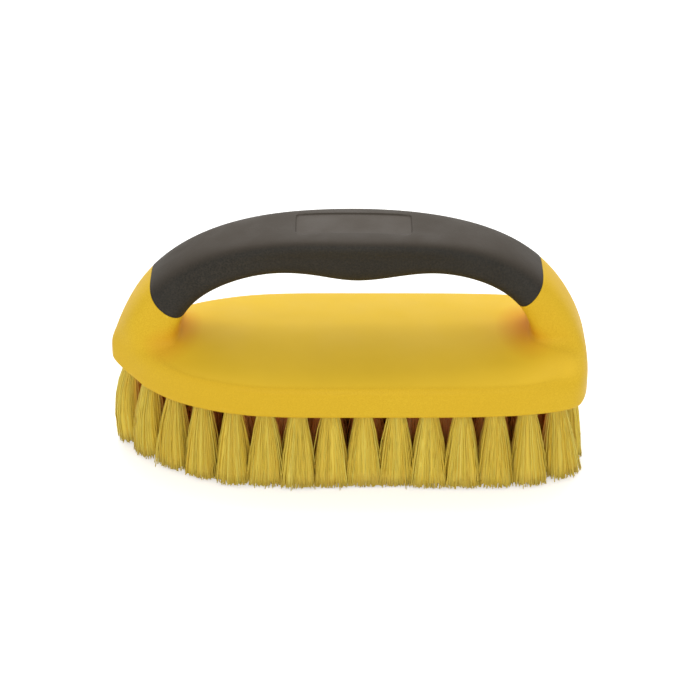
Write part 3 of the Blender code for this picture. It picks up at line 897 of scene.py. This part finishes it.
def spline_surface(control, along, turn):
    """Points and unit normals of the handle's rounded surface, at ring numbers and turns of 0 to 8."""
    row = np.clip(np.floor(along).astype(int), 1, len(control) - 3)
    column = np.floor(turn).astype(int)
    row_weights, row_slopes = spline_weights(along - row)
    turn_weights, turn_slopes = spline_weights(turn - column)
    near = np.arange(-1, 3)
    patch = control[(row[..., None] + near)[..., :, None],
                    ((column[..., None] + near) % control.shape[1])[..., None, :]]
    pairs = ((row_weights, turn_weights), (row_slopes, turn_weights), (row_weights, turn_slopes))
    spot, ahead, round_it = [np.einsum('...ijk,...i,...j->...k', patch, *pair) for pair in pairs]
    normal = np.cross(ahead, round_it)
    normal /= np.linalg.norm(normal, axis=-1, keepdims=True)
    return spot, normal


def inside_end(spot, end):
    """Positive where the surface lies inward of one end of the grip."""
    end_x, low, reach, rise = end
    inward = (end_x - spot[..., 0]) * math.copysign(1, end_x)
    height = spot[..., 2] - BRISTLE_TRIM - low
    corner_in = np.clip(1 - inward / reach, 0, None)
    corner_down = np.clip(1 - height / rise, 0, None)
    return np.where(inward < 0, inward, 1 - corner_in ** TONGUE_POWER - corner_down ** TONGUE_POWER)


def find_end(control, turns, end, start):
    """Where the grip's end crosses each line of the handle's surface."""
    outside = np.full(len(turns), float(start))
    inside = np.full(len(turns), (len(control) - 1) / 2)
    for _ in range(HALVINGS):
        middle = (outside + inside) / 2
        spot, _ = spline_surface(control, middle, turns)
        is_inside = inside_end(spot, end) > 0
        inside = np.where(is_inside, middle, inside)
        outside = np.where(is_inside, outside, middle)
    return inside


def stations_between(marks, pitches):
    """Numbers from the first mark to the last, at each stretch's own pitch."""
    placed = [marks[0]]
    for low, high, pitch in zip(marks, marks[1:], pitches):
        steps = max(1, round((high - low) / pitch))
        placed += [low + (high - low) * i / steps for i in range(1, steps + 1)]
    return np.array(placed)


def plaque_depth(spot):
    """How far the bare plaque sinks at a point of the grip's upper face."""
    middle_x = (PLAQUE_NOSE_X + PLAQUE_HEEL_X) / 2
    half_x = (PLAQUE_HEEL_X - PLAQUE_NOSE_X) / 2 - PLAQUE_CORNER
    half_y = PLAQUE_WIDTH / 2 - PLAQUE_CORNER
    over_x = np.abs(spot[..., 0] - middle_x) - half_x
    over_y = np.abs(spot[..., 1]) - half_y
    beyond = np.hypot(np.clip(over_x, 0, None), np.clip(over_y, 0, None))
    beyond += np.minimum(np.maximum(over_x, over_y), 0) - PLAQUE_CORNER
    share = np.clip(0.5 - beyond / PLAQUE_EDGE, 0, 1)
    return PLAQUE_DEPTH * share ** 2 * (3 - 2 * share)


def grip_turns(control):
    """Where the grip's lines run, closer together at the plaque's long edges."""
    fine = np.linspace(0, 1, SECTION_STEPS)
    spot, _ = spline_surface(control, np.full(SECTION_STEPS, (len(control) - 1) / 2), fine)
    share_at = np.interp(PLAQUE_WIDTH / 2, spot[:, 1], fine)
    edge = PLAQUE_EDGE / 2 / (spot[-1, 1] - spot[0, 1])
    near, coarse, tight = edge * PLAQUE_BAND, 1 / GRIP_TURN_STEPS, edge * 2 / PLAQUE_EDGE_STEPS
    marks = [0, share_at - near, share_at + near, RING_POINTS - share_at - near,
             RING_POINTS - share_at + near, RING_POINTS]
    return stations_between(marks, (coarse, tight, coarse, tight, coarse))[:-1]


def grip_rows(control, turns):
    """Where the grip's rows cross its lines, closer together at the plaque's short edges."""
    nose_end, heel_end = grip_ends()
    nose_stop = find_end(control, turns, nose_end, 1)
    heel_stop = find_end(control, turns, heel_end, len(control) - 2)
    halo = PLAQUE_EDGE * PLAQUE_HALO
    marks = (PLAQUE_NOSE_X - PLAQUE_MARGIN, PLAQUE_NOSE_X - halo, PLAQUE_NOSE_X + halo,
             PLAQUE_HEEL_X - halo, PLAQUE_HEEL_X + halo, PLAQUE_HEEL_X + PLAQUE_MARGIN)
    plaque_x = stations_between(marks, (GRIP_PITCH, PLAQUE_PITCH, GRIP_PITCH, PLAQUE_PITCH, GRIP_PITCH))
    lines = nose_stop + (heel_stop - nose_stop) * np.linspace(0, 1, LENGTH_STEPS)[:, None]
    spots, _ = spline_surface(control, lines, np.broadcast_to(turns, lines.shape))
    at_plaque = np.stack([np.interp(plaque_x, spots[:, k, 0], lines[:, k]) for k in range(len(turns))], 1)
    steps = np.linspace(0, 1, END_ROWS)[:, None]
    return np.concatenate((nose_stop + (at_plaque[0] - nose_stop) * steps[:-1], at_plaque,
                           at_plaque[-1] + (heel_stop - at_plaque[-1]) * steps[1:]))


def rolled_lip(edge, before, normal):
    """Rows of the lip that rolls down at an end of the grip, from the top."""
    tangent = np.roll(edge, -1, axis=0) - np.roll(edge, 1, axis=0)
    out = np.cross(tangent, normal)
    out *= np.sign(np.sum(out * (edge - before), axis=1))[:, None]
    out /= np.linalg.norm(out, axis=1)[:, None]
    lip = []
    for i in range(LIP_STEPS + 1):
        angle = math.pi / 2 * i / LIP_STEPS
        lip.append(edge - out * GRIP_LIP * (1 - math.sin(angle))
                   + normal * (GRIP_PROUD - GRIP_LIP * (1 - math.cos(angle))))
    return lip


def build_grip(control, charcoal):
    """Soft sleeve over the arch, with rolled lips and a bare sunk plaque on top."""
    turns = grip_turns(control)
    along = grip_rows(control, turns)
    turn_grid = np.broadcast_to(turns, along.shape)
    spot, normal = spline_surface(control, along, turn_grid)
    top_face = (turn_grid < 2) | (turn_grid > RING_POINTS - 2)
    depth = np.where(top_face, plaque_depth(spot), 0)
    rows = list(spot + normal * (GRIP_PROUD - depth)[..., None])

    inner_control = np.array([[tuple(p) for p in ring] for ring in handle_rings(GRIP_WALL)])
    inner_control = np.concatenate((inner_control[:1], inner_control, inner_control[-1:]))
    inner, _ = spline_surface(inner_control, along, turn_grid)
    nose_lip, heel_lip = [rolled_lip(spot[i], spot[j], normal[i]) for i, j in ((0, 1), (-1, -2))]
    for lip, edge, step in ((nose_lip, 0, 1), (heel_lip, len(rows) - 1, -1)):
        shift = lip[0] - rows[edge]
        for i in range(EASED_ROWS):
            rows[edge + step * i] = rows[edge + step * i] + shift * (1 - i / EASED_ROWS)
    rows = rows + heel_lip[1:] + list(inner[::-INNER_ROW_STEP]) + nose_lip[:0:-1]
    panel = np.zeros((len(rows), len(turns)))
    panel[:len(depth)] = depth / PLAQUE_DEPTH
    sleeve = add_sleeve(rows)
    add_attribute(sleeve.data, "panel", panel.ravel())
    dress(sleeve, charcoal, "grip")


def add_attribute(mesh, name, values):
    """Number for each point of a mesh, for its material."""
    layer = mesh.attributes.new(name, 'FLOAT', 'POINT')
    layer.data.foreach_set("value", values.astype(np.float32))


def add_sleeve(rows):
    """Closed sleeve from rings of points; the last ring meets the first."""
    points = np.array(rows)
    index = np.arange(points[..., 0].size).reshape(points.shape[:2])
    after = np.roll(index, -1, axis=0)
    quads = np.stack((index, np.roll(index, -1, axis=1), np.roll(after, -1, axis=1), after), -1)
    raw = bpy.data.meshes.new("raw_sleeve")
    raw.from_pydata(points.reshape(-1, 3).tolist(), [], quads.reshape(-1, 4).tolist())
    bm = bmesh.new()
    bm.from_mesh(raw)
    bpy.data.meshes.remove(raw)
    sleeve = add_solid("soft_grip", bm)
    sleeve.data.set_sharp_from_angle(angle=math.radians(SHARP_ANGLE * 2))
    return sleeve


def tuft_places():
    """Every tuft: its name, root, tip, the way it faces out (inner rows: none) and its trim."""
    random = np.random.default_rng(OUTER_COUNT)
    limit = np.array((BLOCK_LENGTH / 2, BLOCK_WIDTH / 2 + OUTER_SIDE_LEAN / 3))
    nowhere = Vector((0, 0))
    places = []
    rows = (("outer", OUTER_INSET, OUTER_COUNT, OUTER_END_LEAN, OUTER_SIDE_LEAN, 0.0),
            ("middle", OUTER_INSET + ROW_STEP, MIDDLE_COUNT, MIDDLE_LEAN, MIDDLE_LEAN, 0.5))
    for name, inset, count, end_lean, side_lean, start in rows:
        for i, (spot, normal) in enumerate(inset_outline(inset, count, start)):
            tip = spot + Vector((normal.x * end_lean, normal.y * side_lean))
            outward = normal if name == "outer" else nowhere
            trimmed = limit - random.uniform(0, TRIM_PLAY)
            places.append(Tuft(f"tuft_{name}_{i + 1:02d}", spot, tip, outward, trimmed))
    first_x = INNER_NOSE_INSET - BLOCK_LENGTH / 2
    last_x = BLOCK_LENGTH / 2 - INNER_HEEL_INSET
    for i in range(INNER_COUNT):
        spot = Vector((first_x + (last_x - first_x) * i / (INNER_COUNT - 1), 0))
        places.append(Tuft(f"tuft_inner_{i + 1:02d}", spot, spot, nowhere, limit))
    return places


def circle(centre, radius, z):
    """Points of a level ring round the centre of a hole."""
    angles = [2 * math.pi * i / HOLE_SIDES for i in range(HOLE_SIDES)]
    return [(*(centre + Vector((math.cos(a), math.sin(a))) * radius), z) for a in angles]


def countersunk_pegs():
    """Round blind holes with a chamfered mouth, as one cutter."""
    bm = bmesh.new()
    levels = ((HOLE_RADIUS + HOLE_CHAMFER * 2, PLATE_FACE_Z - HOLE_CHAMFER),
              (HOLE_RADIUS, PLATE_FACE_Z + HOLE_CHAMFER),
              (HOLE_RADIUS, PLATE_FACE_Z + PLATE_THICKNESS - HOLE_FLOOR))
    for tuft in tuft_places():
        add_stack(bm, [circle(tuft.root, radius, z) for radius, z in levels])
    return bm


def build_plate(yellow):
    """Tuft plate with a countersunk hole for every tuft."""
    block = plate_block(RIM_WALL + FIT_GAP / 3, PLATE_FACE_Z, PLATE_FACE_Z + PLATE_THICKNESS)
    plate = add_solid("drilled_plate", block)
    add_boolean(plate, 'DIFFERENCE', "tuft_holes", countersunk_pegs())
    settle(plate)
    dress(plate, yellow, "tuft_plate")


def around(angle):
    """Plan directions at angles."""
    return np.stack((np.cos(angle), np.sin(angle)), -1)


def flare_out(tuft, aim, reach, share, shift, loose, trim, bend):
    """Points on lines that flare from a tuft's hole to its trim, and how deep each line stands.

    A line stands towards aim at a share reach of the radius, and share runs down it from 0 at the
    hole to 1 at the trim. The depth is 0 on the side that faces out and 1 inside the brush.
    """
    root, tip, outward = np.array(tuft.root), np.array(tuft.tip), np.array(tuft.outward)
    nose_near = math.exp(-(root[0] + BLOCK_LENGTH / 2) / NOSE_BULGE_REACH)
    heel_near = math.exp(-(BLOCK_LENGTH / 2 - root[0]) / HEEL_LEAN_REACH)
    spread, flare, row_way, depth = FIELD_SPREAD, FIELD_FLARE, np.array((1.0, 0.0)), np.ones(len(aim))
    if outward.any():
        spread, flare = TIP_SPREAD - NOSE_TIP_DRAW * nose_near, FLARE
        row_way = np.array((-outward[1], outward[0]))
        depth = 0.5 - 0.5 * reach * (aim @ outward)
    # At the trim neighbouring tufts press each other squarish
    along_row = np.abs(aim @ row_way)
    across_row = np.sqrt(np.clip(1 - along_row ** 2, 0, 1))
    pressed = (along_row ** TIP_SQUARENESS + across_row ** TIP_SQUARENESS) ** (-1 / TIP_SQUARENESS)

    start = root + aim * (reach * (HOLE_RADIUS - FILAMENT_RADIUS * 2))[:, None]
    end = tip + aim * (reach * spread * pressed)[:, None] + shift
    end[:, 0] += HEEL_CORNER_LEAN * heel_near * abs(outward[1])
    limit = tuft.limit + loose[:, None]
    end = np.clip(end, -limit, limit)

    bow = bend + aim * (reach * ROOT_BULGE)[:, None]
    bow += outward * (NOSE_BULGE * nose_near * (1 - NOSE_BULGE_FADE * depth))[:, None]
    below = np.clip(share, 0, 1)
    fall = 1 - (1 - below) ** flare
    line = np.zeros(share.shape + (3,))
    line[..., :2] = start[:, None] + (end - start)[:, None] * fall[..., None]
    line[..., :2] += bow[:, None] * (np.sin(below * math.pi) * np.clip(share * LOOSENING, 0, 1))[..., None]
    line[..., 2] = PLATE_FACE_Z - (PLATE_FACE_Z - trim)[:, None] * share
    line[..., 2] += nose_lift(start[:, 0])[:, None] * (1 - below)
    return line, depth


def filament_lines(tuft, random):
    """Centre points and depths of loose filaments, which clump, stray, crimp and end raggedly."""
    count = RIM_FILAMENTS if any(tuft.outward) else FIELD_FILAMENTS
    order = np.arange(count)
    aim = around(order * GOLDEN_TURN + random.uniform(0, 2 * math.pi))
    reach = ((order + 0.5) / count) ** FILAMENT_CROWDING

    flat = aim * (reach * TIP_SPREAD)[:, None]
    lead = random.choice(count, CLUMPS, replace=False)
    nearest = np.argmin(np.linalg.norm(flat[:, None] - flat[lead][None], axis=2), axis=1)
    pull = CLUMP_PULL * random.uniform(*PULL_RANGE, count)
    shift = (flat[lead][nearest] - flat) * pull[:, None]
    shift += random.normal(0, TIP_SCATTER, (count, 2))
    loose = (random.random(count) < STRAY_SHARE) * random.uniform(0, STRAY_REACH, count)
    shift += aim * loose[:, None]
    trim = np.abs(random.normal(0, RAGGED_TRIM, count)) + WORN_TRIM * reach ** 3
    trim[random.integers(count)] = 0.0

    share = np.tile(np.concatenate(((HOLE_SHARE,), np.linspace(0, 1, FILAMENT_STEPS))), (count, 1))
    bend = random.normal(0, BEND, (count, 2))
    line, depth = flare_out(tuft, aim, reach, share, shift, loose, trim, bend)
    side = around(random.uniform(0, 2 * math.pi, count))
    turns = np.where(np.arange(share.shape[1]) % 2, 1, -1)
    zigzag = CRIMP * random.uniform(*CRIMP_RANGE, count)[:, None] * turns
    line[..., :2] += side[:, None] * (zigzag * np.clip(share * LOOSENING, 0, 1))[..., None]
    return line, depth


def wall_quads(index, beside):
    """Quads between lines of points and the lines beside them."""
    quads = np.stack((index[:, :-1], index[:, 1:], beside[:, 1:], beside[:, :-1]), -1)
    return quads.reshape(-1, 4).tolist()


def filament_mesh(line, random):
    """Points and faces of three-sided filaments along the lines."""
    count, steps = line.shape[:2]
    spin = random.uniform(0, 2 * math.pi, count)
    corner = spin[:, None] + np.arange(FILAMENT_SIDES) * 2 * math.pi / FILAMENT_SIDES
    points = np.repeat(line[:, :, None, :], FILAMENT_SIDES, axis=2)
    points[..., :2] += around(corner)[:, None] * FILAMENT_RADIUS
    index = np.arange(points[..., 0].size).reshape(count, steps, FILAMENT_SIDES)
    faces = wall_quads(index, np.roll(index, -1, axis=2))
    faces += index[:, -1, ::-1].tolist() + index[:, 0].tolist()
    return points.reshape(-1, 3), faces


def heart_mesh(tuft, random):
    """Packed heart of a tuft: filaments so close that only their ridges show."""
    count = 2 * HEART_RIDGES
    aim = around(np.linspace(0, 2 * math.pi, count, endpoint=False) + random.uniform(0, 2 * math.pi))
    uneven = np.repeat(random.normal(0, HEART_UNEVEN, HEART_RIDGES), 2)
    reach = HEART_REACH * (np.tile((1.0, 1.0 - HEART_GROOVE), HEART_RIDGES) + uneven)
    ends = np.repeat(HEART_END + random.uniform(-HEART_RAGGED, HEART_RAGGED, HEART_RIDGES), 2)
    share = np.linspace(HOLE_SHARE, ends, HEART_STEPS, axis=1)
    level, straight = np.zeros(count), np.zeros((count, 2))
    line, depth = flare_out(tuft, aim, reach, share, straight, level, level, straight)
    index = np.arange(count * HEART_STEPS).reshape(count, HEART_STEPS)
    beside = np.roll(index, -1, axis=0)
    caps = (line[:, 0].mean(axis=0), line[:, -1].mean(axis=0) + np.array((0, 0, HEART_HOLLOW)))
    top, bottom = index.size, index.size + 1
    faces = wall_quads(index, beside)
    faces += [(top, a, b) for a, b in zip(index[:, 0], beside[:, 0])]
    faces += [(bottom, b, a) for a, b in zip(index[:, -1], beside[:, -1])]
    tones = np.append(np.repeat(filament_tones(HEART_RIDGES, random), 2 * HEART_STEPS), [TONE_MIDDLE] * 2)
    depths = np.append(np.repeat(depth, HEART_STEPS), [1.0] * 2)
    return np.concatenate((line.reshape(-1, 3), caps)), faces, tones, depths


def filament_tones(count, random):
    """Tone of each filament, from 0 to 1."""
    return np.clip(random.normal(TONE_MIDDLE, TONE_SPREAD, count), 0, 1)


def build_tuft(tuft, number, material):
    """One tuft as one mesh: loose filaments and a packed heart, each with tone and depth."""
    random = np.random.default_rng(number)
    line, depth = filament_lines(tuft, random)
    points, faces = filament_mesh(line, random)
    each = line.shape[1] * FILAMENT_SIDES
    tones = np.repeat(filament_tones(len(line), random), each)
    heart_points, heart_faces, heart_tones, heart_depths = heart_mesh(tuft, random)
    faces += [[index + len(points) for index in face] for face in heart_faces]
    name = tuft.name.replace("tuft", "bristles")
    mesh = bpy.data.meshes.new(name)
    mesh.from_pydata(np.concatenate((points, heart_points)).tolist(), [], faces)
    mesh.shade_smooth()
    add_attribute(mesh, "tone", np.concatenate((tones, heart_tones)))
    add_attribute(mesh, "depth", np.concatenate((np.repeat(depth, each), heart_depths)))
    dress(add_object(name, mesh), material, tuft.name)


def build_tufts(material):
    """Every tuft, each in place of its own node."""
    for number, tuft in enumerate(tuft_places()):
        build_tuft(tuft, number + 1, material)


add_camera()
add_studio()
bpy.context.scene.view_settings.view_transform = 'Standard'
groups = {"drift": slow_drift_group(), "grain": moulded_grain_group(),
          "rubbed": rubbed_edge_group(), "upward": painted_top_light_group()}
yellow = satin_yellow(groups)
handle_control = build_moulding(yellow)
build_grip(handle_control, soft_charcoal(groups))
build_plate(yellow)
build_tufts(yellow_filament(groups["drift"]))
